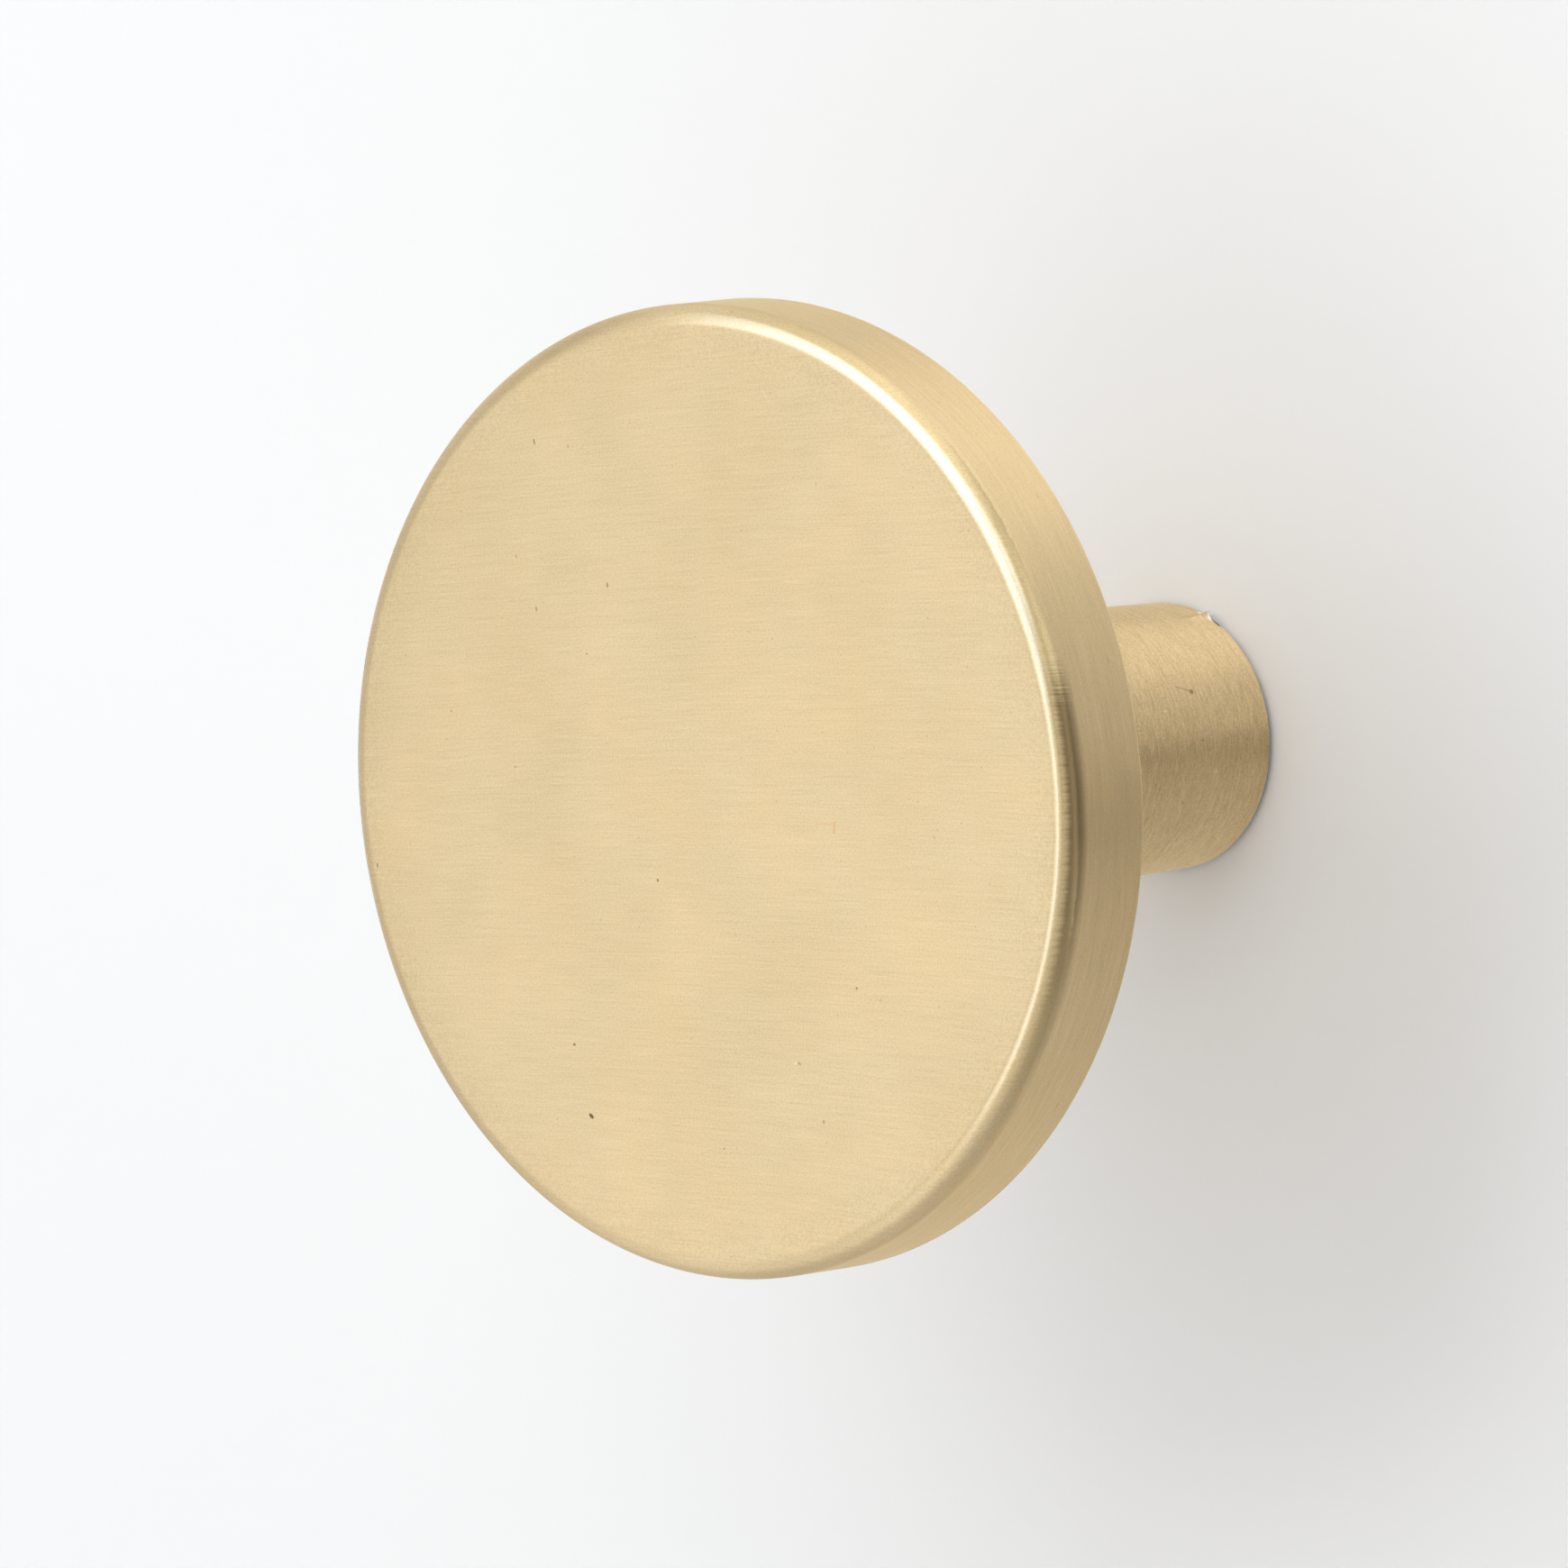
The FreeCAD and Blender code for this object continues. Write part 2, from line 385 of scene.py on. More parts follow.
class NodeSheet:
    """Adds the nodes of one material, with short names for the ones used often."""

    # places of the Mix node's two values and of its result, by the kind of value
    MIX_PLACES = {"FLOAT": (2, 3, 0), "VECTOR": (4, 5, 1), "RGBA": (6, 7, 2)}

    def __init__(self, material):
        material.use_nodes = True
        self.tree = material.node_tree
        self.tree.nodes.clear()

    def node(self, kind, **settings):
        made = self.tree.nodes.new(kind)
        for name, value in settings.items():
            setattr(made, name, value)
        return made

    def feed(self, socket, value):
        if isinstance(value, bpy.types.NodeSocket):
            self.tree.links.new(value, socket)
        else:
            socket.default_value = value

    def feed_all(self, node, values):
        """Feeds the node's first sockets, in order."""
        for socket, value in zip(node.inputs, values):
            self.feed(socket, value)
        return node

    def show(self, surface):
        """Makes this shader node the material's surface."""
        output = self.node("ShaderNodeOutputMaterial")
        self.feed(output.inputs["Surface"], surface.outputs[0])

    def math(self, operation, *values):
        return self.feed_all(self.node("ShaderNodeMath", operation=operation), values).outputs[0]

    def vector(self, operation, *values):
        made = self.node("ShaderNodeVectorMath", operation=operation)
        return self.feed_all(made, values).outputs["Vector"]

    def measure(self, operation, *values):
        """A vector operation that gives one number."""
        made = self.node("ShaderNodeVectorMath", operation=operation)
        return self.feed_all(made, values).outputs["Value"]

    def combine(self, x, y, z):
        return self.feed_all(self.node("ShaderNodeCombineXYZ"), (x, y, z)).outputs[0]

    def separate(self, value):
        return self.feed_all(self.node("ShaderNodeSeparateXYZ"), (value,)).outputs

    def span(self, value, levels, results=(0.0, 1.0)):
        """Goes smoothly from the first result to the second as the value goes between its two levels."""
        made = self.node("ShaderNodeMapRange", interpolation_type="SMOOTHSTEP")
        return self.feed_all(made, (value, *levels, *results)).outputs[0]

    def total(self, *terms):
        """The sum of factor * value over the terms. A value of None stands for 1."""
        result = None
        for factor, value in terms:
            term = factor if value is None else self.math("MULTIPLY", value, factor)
            result = term if result is None else self.math("ADD", result, term)
        return result

    def centred(self, weights, noises):
        """The weighted sum of some noises, moved so that it is 0 where each of them is a half."""
        return self.total((-sum(weights) / 2, None), *zip(weights, noises))

    def roughened(self, value, depth, noise):
        """The value, moved up and down by a noise, by up to half of depth each way."""
        return self.total((-depth / 2, None), (depth, noise), (1, value))

    def noise(self, place, settings):
        """Noise from 0 to 1 with the scale, detail and roughness given."""
        made = self.node("ShaderNodeTexNoise")
        self.feed(made.inputs["Vector"], place)
        for name, value in zip(("Scale", "Detail", "Roughness"), settings):
            made.inputs[name].default_value = value
        return made.outputs["Fac"]

    def hairs(self, along, across, layer, size):
        """Straight streaks, from two places in millimetres and the hair's length and width."""
        length, width = size
        along = self.math("DIVIDE", along, length)
        across = self.math("DIVIDE", across, width)
        return self.noise(self.combine(along, across, layer), HAIR_NOISE)

    def turned_hairs(self, at, size):
        """Streaks that run round the axis. Their length is the one at the stem's foot."""
        length, width = size
        turns = STEM_FOOT_RADIUS / length
        place = self.combine(
            self.math("MULTIPLY", at.reach, turns),
            self.math("MULTIPLY", at.height, turns),
            self.math("DIVIDE", at.profile, width),
        )
        return self.noise(place, HAIR_NOISE)

    def mix(self, kind, share, first, second):
        made = self.node("ShaderNodeMix", data_type=kind)
        first_place, second_place, result_place = self.MIX_PLACES[kind]
        self.feed(made.inputs[0], share)
        self.feed(made.inputs[first_place], first)
        self.feed(made.inputs[second_place], second)
        return made.outputs[result_place]

    def blend(self, share, first, second):
        return self.mix("FLOAT", share, first, second)

    def blend_vector(self, share, first, second):
        return self.mix("VECTOR", share, first, second)

    def blend_color(self, share, first, second):
        return self.mix("RGBA", share, first, second)


# Places on the surface are given by three measures. The turn is the normal's part along the axis: -1 on
# the face and 0 on the rim and stem. The height runs from -1 at the bottom to 1 at the top, and the reach
# from -1 on the left to 1 on the right, both round the axis. Each pair below says where a change begins
# and where it is complete.

# The face's brushing by its turn, and how deep the comb is in which it gives way to the turned brushing
FACE_BRUSHING = (-0.15, -0.60)
COMB_DEPTH = 0.25
# How far the hairs of the two kinds lie among each other where they meet
HAIR_MIXING = 0.7

# Handling has polished the rounded edge, and it is painted with a pale highlight colour, except near the
# flat face, at the bottom and on the left
UNPOLISHED_UNHIGHLIGHTED_TURN = (-0.93, -0.995)
UNPOLISHED_UNHIGHLIGHTED_HEIGHT = (-0.40, -0.72)
UNPOLISHED_UNHIGHLIGHTED_REACH = (0.30, -0.15)
# The polish reaches further over the edge near the top, and the painted highlight colour twice as far
WIDENING_HEIGHT = (0.15, 0.55)
POLISH_AND_HIGHLIGHT_WIDENING = 0.09
# By its turn, the polished edge gets rougher, and its painted highlight colour ends
ROUGHER_TURN = (-0.955, -0.70)
PAINTED_HIGHLIGHT_END_TURN = (-0.985, -0.88)

# Roughness of the flat face, of the polished edge's inner and outer part, and of the turned surfaces
FACE_ROUGHNESS = 0.47
EDGE_ROUGHNESS = 0.33
OUTER_ROUGHNESS = 0.45
TURNED_ROUGHNESS = 0.55
# How much smoother the light hairs are, how far a highlight is drawn out across the hairs, and the bump
TONE_SMOOTHING = 0.03
ANISOTROPY = 0.95
BUMP_STRENGTH = 0.25

# The brushed face is paler than the turned rim and stem
FACE_BRASS = (0.775, 0.612, 0.366, 1)
# painted highlight: the pale colour on the polished edge's inner part
PAINTED_HIGHLIGHT_BRASS = (0.95, 0.84, 0.61, 1)
OUTER_BRASS = (0.73, 0.57, 0.31, 1)
TURNED_BRASS = (0.69, 0.535, 0.307, 1)
# painted shade: the dark reflection on the rounded edge's outer part
PAINTED_SHADE_BRASS = (0.22, 0.155, 0.075, 1)
PIT_BROWN = (0.22, 0.155, 0.075, 1)
REDDISH = (0.74, 0.40, 0.20, 1)
BRIGHT = (0.95, 0.86, 0.62, 1)
WHITISH = (0.97, 0.95, 0.90, 1)
RUSTY = (0.36, 0.17, 0.08, 1)
# painted shadow: the gap where the stem meets the wall
PAINTED_SHADOW_GREY = (0.07, 0.07, 0.08, 1)

# The painted shade, a dark reflection on the outer part of the rounded edge: how dark it is, where it
# begins by its turn, and where it ends in millimetres behind the face
EDGE_SHADE_STRENGTH = 0.94
EDGE_SHADE_TURN = (-0.91, -0.62)
EDGE_SHADE_DEPTH = (1.22, 0.50)
# Where its upper end lies and how uneven it is, and how it fades towards the bottom, to the share given
EDGE_SHADE_HEIGHT = (0.35, 0.22)
EDGE_SHADE_COMB = 0.13
EDGE_SHADE_FADING = (-0.62, 0.05)
EDGE_SHADE_SHARE_BELOW = 0.3

# The bevel round the stem's foot carries a painted shadow, from just before it, in millimetres along the
# axis and outwards. The painted shadow fades towards the top, to the share given.
FOOT_SHADOW_START = (-FOOT_BEVEL - 0.03, -FOOT_BEVEL)
FOOT_SHADOW_RADIUS = (STEM_FOOT_RADIUS - FOOT_BEVEL - 0.01, STEM_FOOT_RADIUS - FOOT_BEVEL + 0.03)
FOOT_SHADOW_FADING = (0.65, 0.1)
FOOT_SHADOW_SHARE_ABOVE = 0.3

# The face's brushing rises from left to right, by less towards the right and towards the bottom.
# Its slope in the middle of the face, and how that changes for each metre across and up:
BRUSH_SLOPE = 0.062
SLOPE_ACROSS = -2.2
SLOPE_UP = 3.4

# Length and width of the hairs on the face, and on the turned surfaces, in millimetres
SHORT_HAIR = (2.2, 0.05)
LONG_HAIR = (9.0, 0.16)
TURNED_HAIR = (0.7, 0.07)
TURNED_LINE = (4.0, 0.35)
# Size of the grain between the hairs, in millimetres
GRAIN = 0.09
# Scale, detail and roughness of the noises. The last two have their scale per metre.
HAIR_NOISE = (1.0, 2.0, 0.6)
GRAIN_NOISE = (1 / (GRAIN * MM), 1.0, 0.5)
BLOTCH_NOISE = (140, 3.0, 0.55)
DRIFT_NOISE = (200, 3.0, 0.6)
# What the short hairs, the long hairs and the grain add to the face's tone
FACE_TONE = (1.1, 0.45, 1.4)
# What the hairs, the lines and the grain add to the turned surfaces' tone
TURNED_TONE = (2.7, 0.9, 2.1)
# How strong that is on the rim, compared with the stem, and between which radii it changes
RIM_TONE = 0.5
RIM_TO_STEM = (19.0, 7.0)
BLOTCH_TONE = 0.7
# How much the tone changes the brightness in red, green and blue, and how far the colour drifts
TONE_DEPTH = (0.20, 0.20, 0.25)
COLOR_DRIFT = (0.06, 0.0, -0.10)
# How deep the hairs are, in millimetres
HAIR_DEPTH = 0.004
# Faint dots: spacing and radius in millimetres, how many of the places have none, and how dark they are
DOT_SPACING = 2.6
DOT_RADIUS = 0.05
DOTS_MISSING = 0.45
DOT_STRENGTH = 0.28
# The share of a dot's or a mark's half width at which it has its full strength
DOT_CORE = 0.4
MARK_CORE = 0.35


def face_spot(x, z):
    return Vector((x, -PROJECTION, z)) * MM


def stem_spot(y, degrees):
    radius = STEM_FOOT_RADIUS + (STEM_ROOT_RADIUS - STEM_FOOT_RADIUS) * y / HEAD_BACK
    return turned_point(radius, y, math.radians(degrees))


def rim_spot(y, degrees):
    return turned_point(HEAD_RADIUS, y, math.radians(degrees))


# Marks on the surface: where each starts and ends, half its width in millimetres, strength and colour
MARKS = [
    # reddish mark right of the face's middle, with the faint line that leads to it
    (face_spot(6.25, -0.85), face_spot(7.15, -0.78), 0.05, 0.30, REDDISH),
    (face_spot(7.30, -0.70), face_spot(7.26, -1.12), 0.075, 0.55, REDDISH),
    # light scratch near the top of the face, and a light fleck in its lower right part
    (face_spot(3.60, 16.75), face_spot(3.98, 16.25), 0.045, 0.28, BRIGHT),
    (face_spot(5.05, -10.66), face_spot(4.98, -10.72), 0.07, 0.5, BRIGHT),
    # scratch on the stem and the rusty dot at its end, two bright specks and two brown dots
    (stem_spot(-5.55, 29.0), stem_spot(-4.75, 26.4), 0.04, 0.40, PIT_BROWN),
    (stem_spot(-4.69, 26.0), stem_spot(-4.64, 26.0), 0.14, 0.8, RUSTY),
    (stem_spot(-6.72, 19.0), stem_spot(-6.68, 19.0), 0.08, 0.6, BRIGHT),
    (stem_spot(-3.70, -8.0), stem_spot(-3.70, -9.6), 0.06, 0.45, BRIGHT),
    (stem_spot(-4.62, 5.0), stem_spot(-4.60, 5.0), 0.07, 0.5, PIT_BROWN),
    (stem_spot(-5.55, -21.0), stem_spot(-5.52, -21.0), 0.07, 0.5, PIT_BROWN),
    # the bright burr on the stem's end, and the painted grey shadow beside it, in the gap at the wall
    (stem_spot(-0.16, 69.0), stem_spot(-0.12, 65.0), 0.42, 0.95, WHITISH),
    (stem_spot(-0.16, 63.4), stem_spot(-0.22, 59.5), 0.17, 0.95, PAINTED_SHADOW_GREY),
    # dark dot on the rim's back edge
    (rim_spot(-24.72, 7.0), rim_spot(-24.66, 7.0), 0.10, 0.75, PIT_BROWN),
]


def surface_places(sheet):
    """Where on the knob a point lies: in metres, in millimetres, by its turn, and round the axis."""
    at = SimpleNamespace()
    at.position = sheet.node("ShaderNodeTexCoord").outputs["Object"]
    at.normal = sheet.node("ShaderNodeNewGeometry").outputs["Normal"]
    at.x, at.y, at.z = sheet.separate(sheet.vector("DIVIDE", at.position, (MM, MM, MM)))
    at.turn = sheet.separate(at.normal)[1]
    from_axis = sheet.combine(at.x, 0, at.z)
    at.radius = sheet.measure("LENGTH", from_axis)
    at.reach, _, at.height = sheet.separate(sheet.vector("NORMALIZE", from_axis))
    # this rises steadily along the section, so it counts the turned lines
    at.profile = sheet.math("ADD", at.y, at.radius)
    return at


def face_hairs(sheet, at):
    """The short and the long hairs of the face, and their direction."""
    # a hair is a curve on which the level stays the same
    slope = sheet.total((BRUSH_SLOPE, None), (SLOPE_ACROSS * MM, at.x), (SLOPE_UP * MM, at.z))
    mean_slope = sheet.total((BRUSH_SLOPE, None), (SLOPE_ACROSS * MM / 2, at.x), (SLOPE_UP * MM, at.z))
    level = sheet.math("SUBTRACT", at.z, sheet.math("MULTIPLY", at.x, mean_slope))
    short = sheet.hairs(at.x, level, 0, SHORT_HAIR)
    long = sheet.hairs(at.x, level, 5, LONG_HAIR)
    return short, long, sheet.combine(1, 0, slope)


def brushing_tone(sheet, at, on_face, short, long):
    """How much lighter or darker the brushing makes a place, round 0."""
    grain = sheet.noise(at.position, GRAIN_NOISE)
    face_tone = sheet.centred(FACE_TONE, (short, long, grain))
    fine = sheet.turned_hairs(at, TURNED_HAIR)
    lines = sheet.turned_hairs(at, TURNED_LINE)
    turned_tone = sheet.centred(TURNED_TONE, (fine, lines, grain))
    # the rim's turning is finer than the stem's
    strength = sheet.span(at.radius, RIM_TO_STEM, (RIM_TONE, 1.0))
    turned_tone = sheet.math("MULTIPLY", turned_tone, strength)
    tone = sheet.blend(on_face, turned_tone, face_tone)
    return sheet.roughened(tone, BLOTCH_TONE, sheet.noise(at.position, BLOTCH_NOISE))


def polish(sheet, at):
    """Where the surface is neither polished nor given the painted highlight, where the polish is rougher,
    and where the painted highlight colour ends.
    """
    wider = sheet.span(at.height, WIDENING_HEIGHT, (0, POLISH_AND_HIGHLIGHT_WIDENING))
    turn = sheet.math("SUBTRACT", at.turn, wider)
    rougher = sheet.span(turn, ROUGHER_TURN)
    painted_highlight_end = sheet.span(sheet.math("SUBTRACT", turn, wider), PAINTED_HIGHLIGHT_END_TURN)
    low = sheet.span(at.height, UNPOLISHED_UNHIGHLIGHTED_HEIGHT)
    left = sheet.span(at.reach, UNPOLISHED_UNHIGHLIGHTED_REACH)
    low_or_left = sheet.math("MAXIMUM", low, left)
    plain = sheet.math("MAXIMUM", sheet.span(at.turn, UNPOLISHED_UNHIGHLIGHTED_TURN), low_or_left)
    return plain, rougher, painted_highlight_end


def painted_edge_shade(sheet, at, ragged_turn, short):
    """Painted shade, a dark reflection, on the outer part of the rounded edge, from a comb right of the
    middle downwards.
    """
    depth = sheet.math("ADD", at.y, PROJECTION)
    band = sheet.math("MULTIPLY", sheet.span(ragged_turn, EDGE_SHADE_TURN), sheet.span(depth, EDGE_SHADE_DEPTH))
    below = sheet.span(sheet.roughened(at.height, EDGE_SHADE_COMB, short), EDGE_SHADE_HEIGHT)
    fading = sheet.span(at.height, EDGE_SHADE_FADING, (EDGE_SHADE_SHARE_BELOW, 1))
    lower = sheet.math("MULTIPLY", below, fading)
    return sheet.math("MULTIPLY", sheet.math("MULTIPLY", band, lower), EDGE_SHADE_STRENGTH)


def painted_foot_shadow(sheet, at):
    """Painted shadow on the bevel round the stem's foot, darkest underneath."""
    fading = sheet.span(at.height, FOOT_SHADOW_FADING, (FOOT_SHADOW_SHARE_ABOVE, 1))
    dark = sheet.math("MULTIPLY", sheet.span(at.y, FOOT_SHADOW_START), fading)
    return sheet.math("MULTIPLY", dark, sheet.span(at.radius, FOOT_SHADOW_RADIUS))


def stroke(sheet, position, start, end, half_width):
    """1 along the line from start to end, falling to 0 at half_width from it."""
    run = end - start
    offset = sheet.vector("SUBTRACT", position, start)
    share = sheet.measure("DOT_PRODUCT", offset, run / run.length_squared)
    share = sheet.math("MINIMUM", sheet.math("MAXIMUM", share, 0), 1)
    distance = sheet.measure("DISTANCE", offset, sheet.vector("MULTIPLY", share, run))
    return sheet.span(distance, (half_width * MM, half_width * MM * MARK_CORE))


def dots(sheet, across, up):
    """Small round dots, one in every few cells of a random pattern. The two numbers are in millimetres."""
    cells = sheet.node("ShaderNodeTexVoronoi", voronoi_dimensions="2D")
    cells.inputs["Scale"].default_value = 1 / DOT_SPACING
    sheet.feed(cells.inputs["Vector"], sheet.combine(across, up, 0))
    reach = DOT_RADIUS / DOT_SPACING
    near = sheet.span(cells.outputs["Distance"], (reach, reach * DOT_CORE))
    draw = sheet.separate(cells.outputs["Color"])[0]
    return sheet.math("MULTIPLY", near, sheet.math("GREATER_THAN", draw, DOTS_MISSING))


def add_marks(sheet, at, on_face, color):
    """Puts the faint dots, the single marks, the painted shadow round the foot and the pits' brown over
    the brass.
    """
    face_dots = dots(sheet, at.x, at.z)
    around = sheet.math("MULTIPLY", sheet.math("ARCTAN2", at.height, at.reach), STEM_FOOT_RADIUS)
    turned_dots = dots(sheet, around, at.profile)
    faint = sheet.math("MULTIPLY", sheet.blend(on_face, turned_dots, face_dots), DOT_STRENGTH)
    color = sheet.blend_color(faint, color, PIT_BROWN)
    for start, end, half_width, strength, tint in MARKS:
        mask = stroke(sheet, at.position, start, end, half_width)
        color = sheet.blend_color(sheet.math("MULTIPLY", mask, strength), color, tint)
    # painted shadow on the bevel round the stem's foot
    color = sheet.blend_color(painted_foot_shadow(sheet, at), color, PAINTED_SHADOW_GREY)
    tarnish = sheet.node("ShaderNodeAttribute", attribute_name="tarnish").outputs["Fac"]
    return sheet.blend_color(tarnish, color, PIT_BROWN)


def brass_shade(sheet, at, tone):
    """What the brass's colour is multiplied by: the brushing's tone, and a slow drift of the colour."""
    drift = sheet.math("SUBTRACT", sheet.noise(at.position, DRIFT_NOISE), 0.5)
    return sheet.combine(
        *(
            sheet.total((1, None), (depth, tone), (amount, drift))
            for depth, amount in zip(TONE_DEPTH, COLOR_DRIFT)
        )
    )


def highlight_way(sheet, at, on_face, short, face_line):
    """Across the brushing, which is the way in which Blender draws out the highlights."""
    round_line = sheet.combine(sheet.math("MULTIPLY", at.height, -1), 0, at.reach)
    # each hair lies one way or the other, so the two directions don't mix
    patchy = sheet.roughened(on_face, HAIR_MIXING, short)
    line_way = sheet.blend_vector(sheet.math("GREATER_THAN", patchy, 0.5), round_line, face_line)
    return sheet.vector("NORMALIZE", sheet.vector("CROSS_PRODUCT", at.normal, line_way))


def brushed_brass():
    """Satin brass: straight brushing over the face and its rounded edge, turned brushing elsewhere."""
    material = bpy.data.materials.new("brushed_brass")
    sheet = NodeSheet(material)
    at = surface_places(sheet)
    short, long, face_line = face_hairs(sheet, at)
    ragged_turn = sheet.roughened(at.turn, COMB_DEPTH, long)
    on_face = sheet.span(ragged_turn, FACE_BRUSHING)
    tone = brushing_tone(sheet, at, on_face, short, long)
    plain, rougher, painted_highlight_end = polish(sheet, at)

    # painted highlight: pale on the polished edge's inner part, plain brass beyond it
    painted_highlight_edge_color = sheet.blend_color(painted_highlight_end, PAINTED_HIGHLIGHT_BRASS, OUTER_BRASS)
    face_color = sheet.blend_color(plain, painted_highlight_edge_color, FACE_BRASS)
    color = sheet.blend_color(on_face, TURNED_BRASS, face_color)
    color = sheet.vector("MULTIPLY", color, brass_shade(sheet, at, tone))
    # painted shade: a dark reflection over the rounded edge's outer part
    color = sheet.blend_color(painted_edge_shade(sheet, at, ragged_turn, short), color, PAINTED_SHADE_BRASS)
    color = add_marks(sheet, at, on_face, color)

    edge_roughness = sheet.blend(rougher, EDGE_ROUGHNESS, OUTER_ROUGHNESS)
    face_roughness = sheet.blend(plain, edge_roughness, FACE_ROUGHNESS)
    roughness = sheet.blend(on_face, TURNED_ROUGHNESS, face_roughness)

    bump = sheet.node("ShaderNodeBump")
    bump.inputs["Strength"].default_value = BUMP_STRENGTH
    bump.inputs["Distance"].default_value = HAIR_DEPTH * MM
    sheet.feed(bump.inputs["Height"], tone)

    shader = sheet.node("ShaderNodeBsdfPrincipled")
    shader.inputs["Metallic"].default_value = 1.0
    shader.inputs["Anisotropic"].default_value = ANISOTROPY
    sheet.feed(shader.inputs["Base Color"], color)
    sheet.feed(shader.inputs["Roughness"], sheet.total((1, roughness), (-TONE_SMOOTHING, tone)))
    sheet.feed(shader.inputs["Tangent"], highlight_way(sheet, at, on_face, short, face_line))
    sheet.feed(shader.inputs["Normal"], bump.outputs[0])
    sheet.show(shader)
    return material


# The stage is a wall panel and a floor, in metres
WALL_SIZE = 3.0
FLOOR_DROP = 0.35
# The wall ends just right of the picture, so that the knob's side mirrors the dim room there
WALL_RIGHT = 0.15
# The wall has a hole behind the stem's end face, so that the face and the screw hole show from behind
WALL_HOLE_RADIUS = 5.36
WALL_STEPS = 64
WALL_WHITE = (0.858, 0.86, 0.866, 1)
FLOOR_WHITE = (0.86, 0.86, 0.86, 1)


def pale_surface(name, white):
    """Matt white on the knob's side, and clear from behind, so that no view of the knob is blocked."""
    material = bpy.data.materials.new(name)
    sheet = NodeSheet(material)
    matt = sheet.node("ShaderNodeBsdfDiffuse")
    matt.inputs["Color"].default_value = white
    clear = sheet.node("ShaderNodeBsdfTransparent")
    behind = sheet.node("ShaderNodeNewGeometry").outputs["Backfacing"]
    mix = sheet.node("ShaderNodeMixShader")
    sheet.show(sheet.feed_all(mix, (behind, matt.outputs[0], clear.outputs[0])))
    return material


def make_wall():
    """The wall the knob is fixed to: a panel with a round hole, facing -Y."""
    mesh = bmesh.new()
    inner, outer = [], []
    for step in range(WALL_STEPS):
        angle = 2 * math.pi * (step + 0.5) / WALL_STEPS
        way = Vector((math.cos(angle), 0, math.sin(angle)))
        inner.append(mesh.verts.new(way * WALL_HOLE_RADIUS * MM))
        reach = WALL_SIZE / 2 / max(abs(way.x), abs(way.z))
        if way.x > 0:
            reach = min(reach, WALL_RIGHT / way.x)
        outer.append(mesh.verts.new(way * reach))
    for step in range(WALL_STEPS):
        following = (step + 1) % WALL_STEPS
        mesh.faces.new((inner[step], outer[step], outer[following], inner[following]))
    for face in mesh.faces:
        face.normal_update()
        if face.normal.y > 0:
            face.normal_flip()
    data = bpy.data.meshes.new("wall")
    mesh.to_mesh(data)
    mesh.free()
    data.materials.append(pale_surface("wall_white", WALL_WHITE))
    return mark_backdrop(add_object("wall", data))


def make_floor():
    """The floor in front of the wall and below the knob, facing up."""
    half = WALL_SIZE / 2
    low = -FLOOR_DROP
    corners = [(-half, -WALL_SIZE, low), (half, -WALL_SIZE, low), (half, 0, low), (-half, 0, low)]
    data = bpy.data.meshes.new("floor")
    data.from_pydata(corners, [], [(0, 1, 2, 3)])
    data.materials.append(pale_surface("floor_white", FLOOR_WHITE))
    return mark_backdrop(add_object("floor", data))


# Where the lamps point, and how far they stand from it, in metres
LAMP_TARGET = Vector((0, -0.015, 0))
LAMP_DISTANCE = 1.2
COOL_WHITE = (0.95, 0.993, 1.04)

# A row of soft windows overhead, and pale panels in front and to the left. Each has its degrees round the
# knob's axis from +X towards +Z, its degrees out of the wall, its size in metres, first along the turn
# round the axis, and how bright it looks, with 1 for a white wall.
LAMPS = [
    ("window", 84, 41, (1.15, 0.5), 2.4),
    ("window_left", 141, 43, (0.80, 0.5), 2.55),
    ("ceiling", 50, 15, (2.4, 0.45), 2.5),
    ("top", 92, 62, (0.45, 0.45), 2.0),
    ("left", 178, 29, (0.5, 1.08), 0.92),
    ("front", 180, 76, (1.2, 0.4), 1.35),
]

# The room's light is dim, even and a little warm
ROOM_PALE = (0.305, 0.275, 0.232, 1)


def direction(round_angle, out_angle):
    """From the knob: degrees round its axis from +X towards +Z, then degrees out of the wall."""
    turn, lift = math.radians(round_angle), math.radians(out_angle)
    return Vector((math.cos(turn) * math.cos(lift), -math.sin(lift), math.sin(turn) * math.cos(lift)))


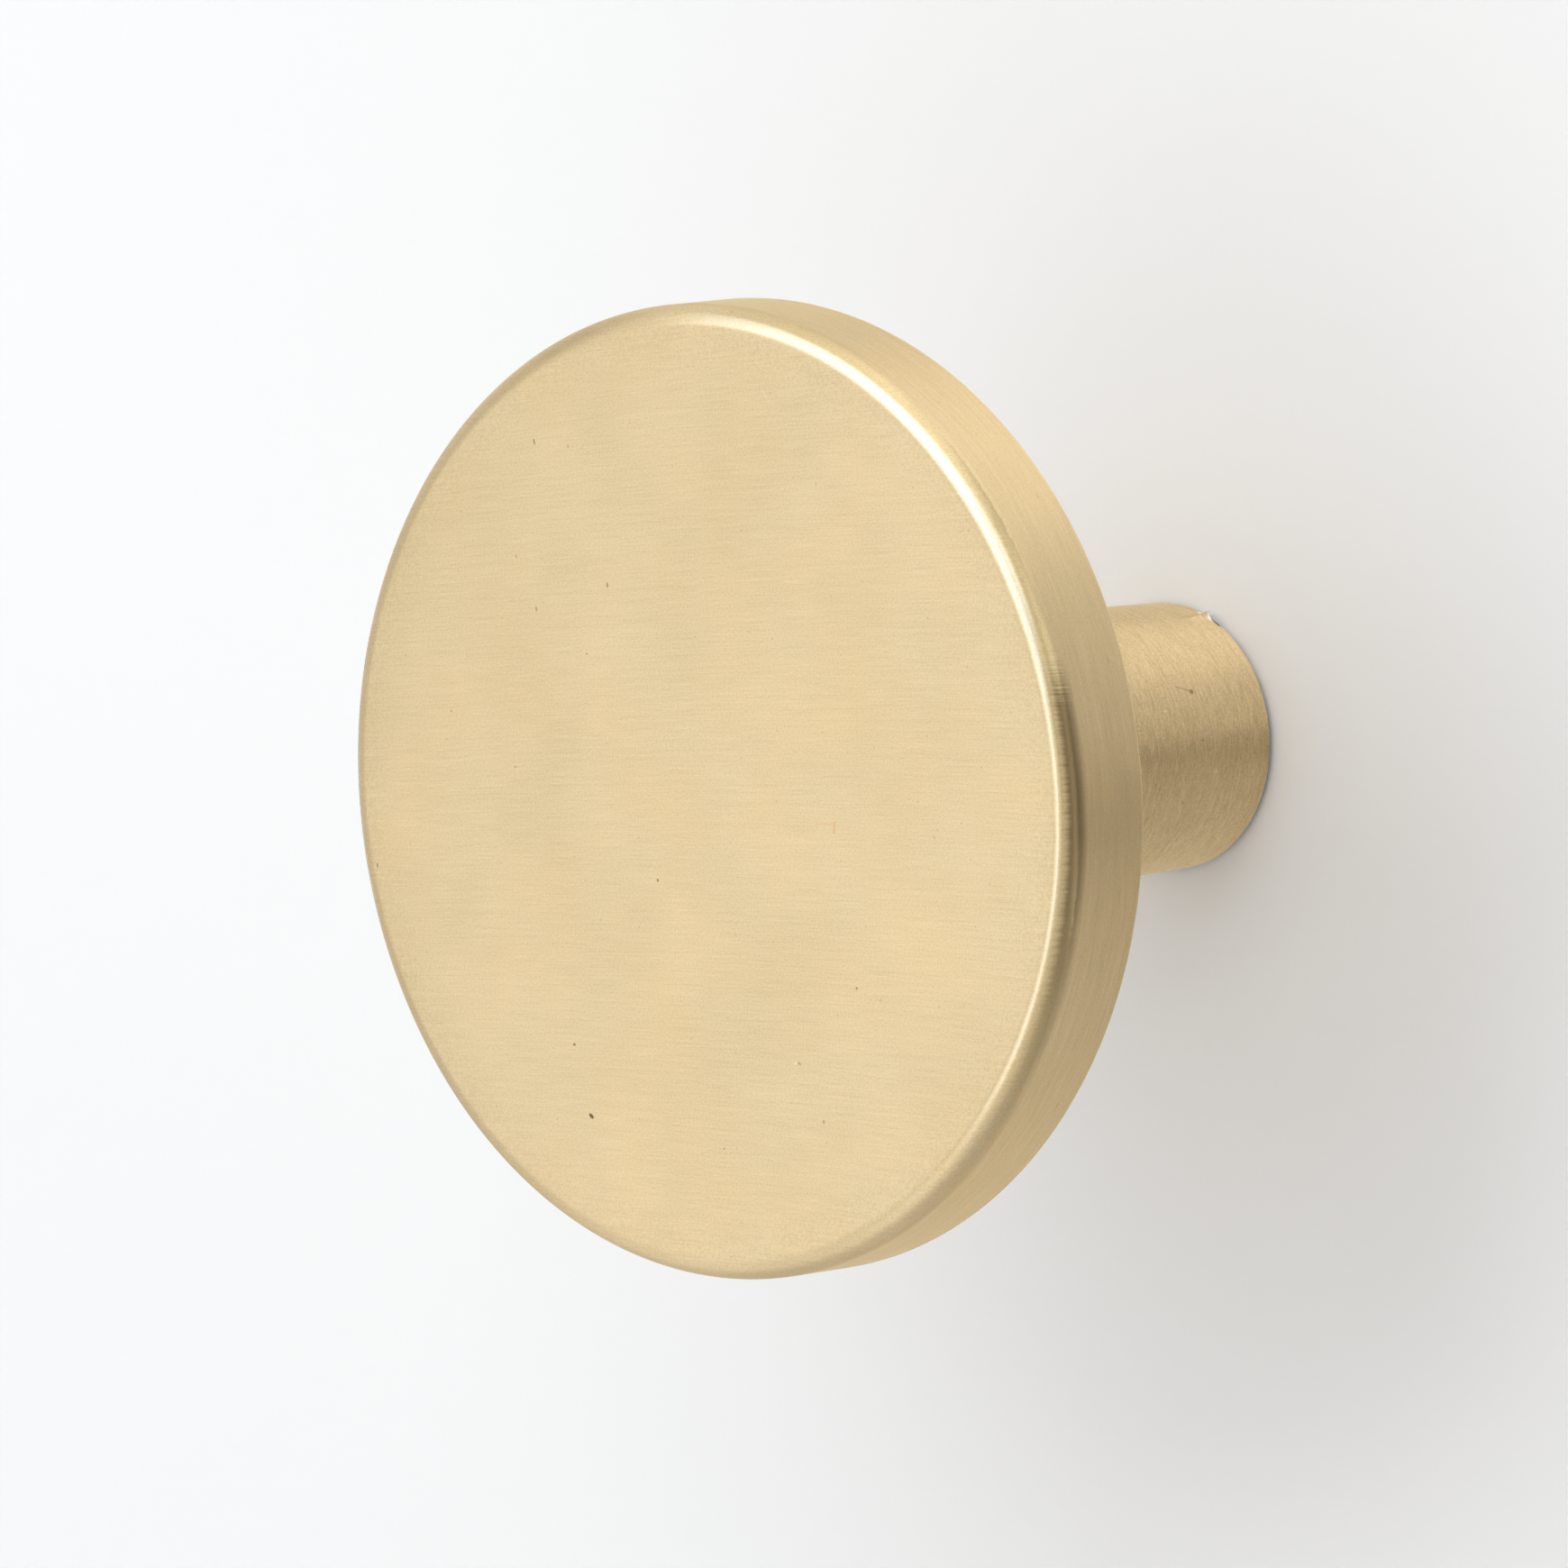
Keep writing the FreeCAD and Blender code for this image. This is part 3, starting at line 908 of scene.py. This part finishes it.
def soft_lamp(name, round_angle, out_angle, size, brightness):
    """A rectangular lamp aimed at the knob."""
    data = bpy.data.lights.new(name, "AREA")
    data.shape = "RECTANGLE"
    data.size, data.size_y = size
    data.energy = math.pi * size[0] * size[1] * brightness
    data.color = COOL_WHITE
    away = direction(round_angle, out_angle)
    level = direction(round_angle + 90, 0)
    turn = Matrix((level, away.cross(level), away)).transposed().to_4x4()
    add_object(name, data).matrix_world = Matrix.Translation(LAMP_TARGET + away * LAMP_DISTANCE) @ turn


def make_lights():
    for lamp in LAMPS:
        soft_lamp(*lamp)
    world = bpy.data.worlds.new("studio")
    bpy.context.scene.world = world
    world.use_nodes = True
    world.node_tree.nodes["Background"].inputs["Color"].default_value = ROOM_PALE


# The camera of the photograph: degrees, then metres. The aim point is what the picture's middle shows.
VIEW_AZIMUTH = 42.379
VIEW_ELEVATION = 5.913
VIEW_ROLL = -0.713
VIEW_DISTANCE = 0.72364
VIEW_AIM = Vector((-0.009358, -0.014, -0.001445))
LENS_MM = 397.4
SENSOR_MM = 36.0
NEAR_LIMIT = 0.05
FAR_LIMIT = 20


def make_camera():
    azimuth, elevation, roll = (math.radians(a) for a in (VIEW_AZIMUTH, VIEW_ELEVATION, VIEW_ROLL))
    back = Vector(
        (
            math.sin(azimuth) * math.cos(elevation),
            -math.cos(azimuth) * math.cos(elevation),
            math.sin(elevation),
        )
    )
    level = Vector((math.cos(azimuth), math.sin(azimuth), 0))
    upright = back.cross(level)
    right = level * math.cos(roll) + upright * math.sin(roll)
    up = back.cross(right)
    data = bpy.data.cameras.new("photo_camera")
    data.sensor_width = SENSOR_MM
    data.lens = LENS_MM
    data.clip_start, data.clip_end = NEAR_LIMIT, FAR_LIMIT
    camera = add_object("photo_camera", data)
    turn = Matrix((right, up, back)).transposed().to_4x4()
    camera.matrix_world = Matrix.Translation(VIEW_AIM + back * VIEW_DISTANCE) @ turn
    bpy.context.scene.camera = camera


make_camera()
knob = make_knob()
knob.data.materials.append(brushed_brass())
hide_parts("knob")
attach(knob, "root")
make_wall()
make_floor()
make_lights()
bpy.context.scene.view_settings.view_transform = "Standard"
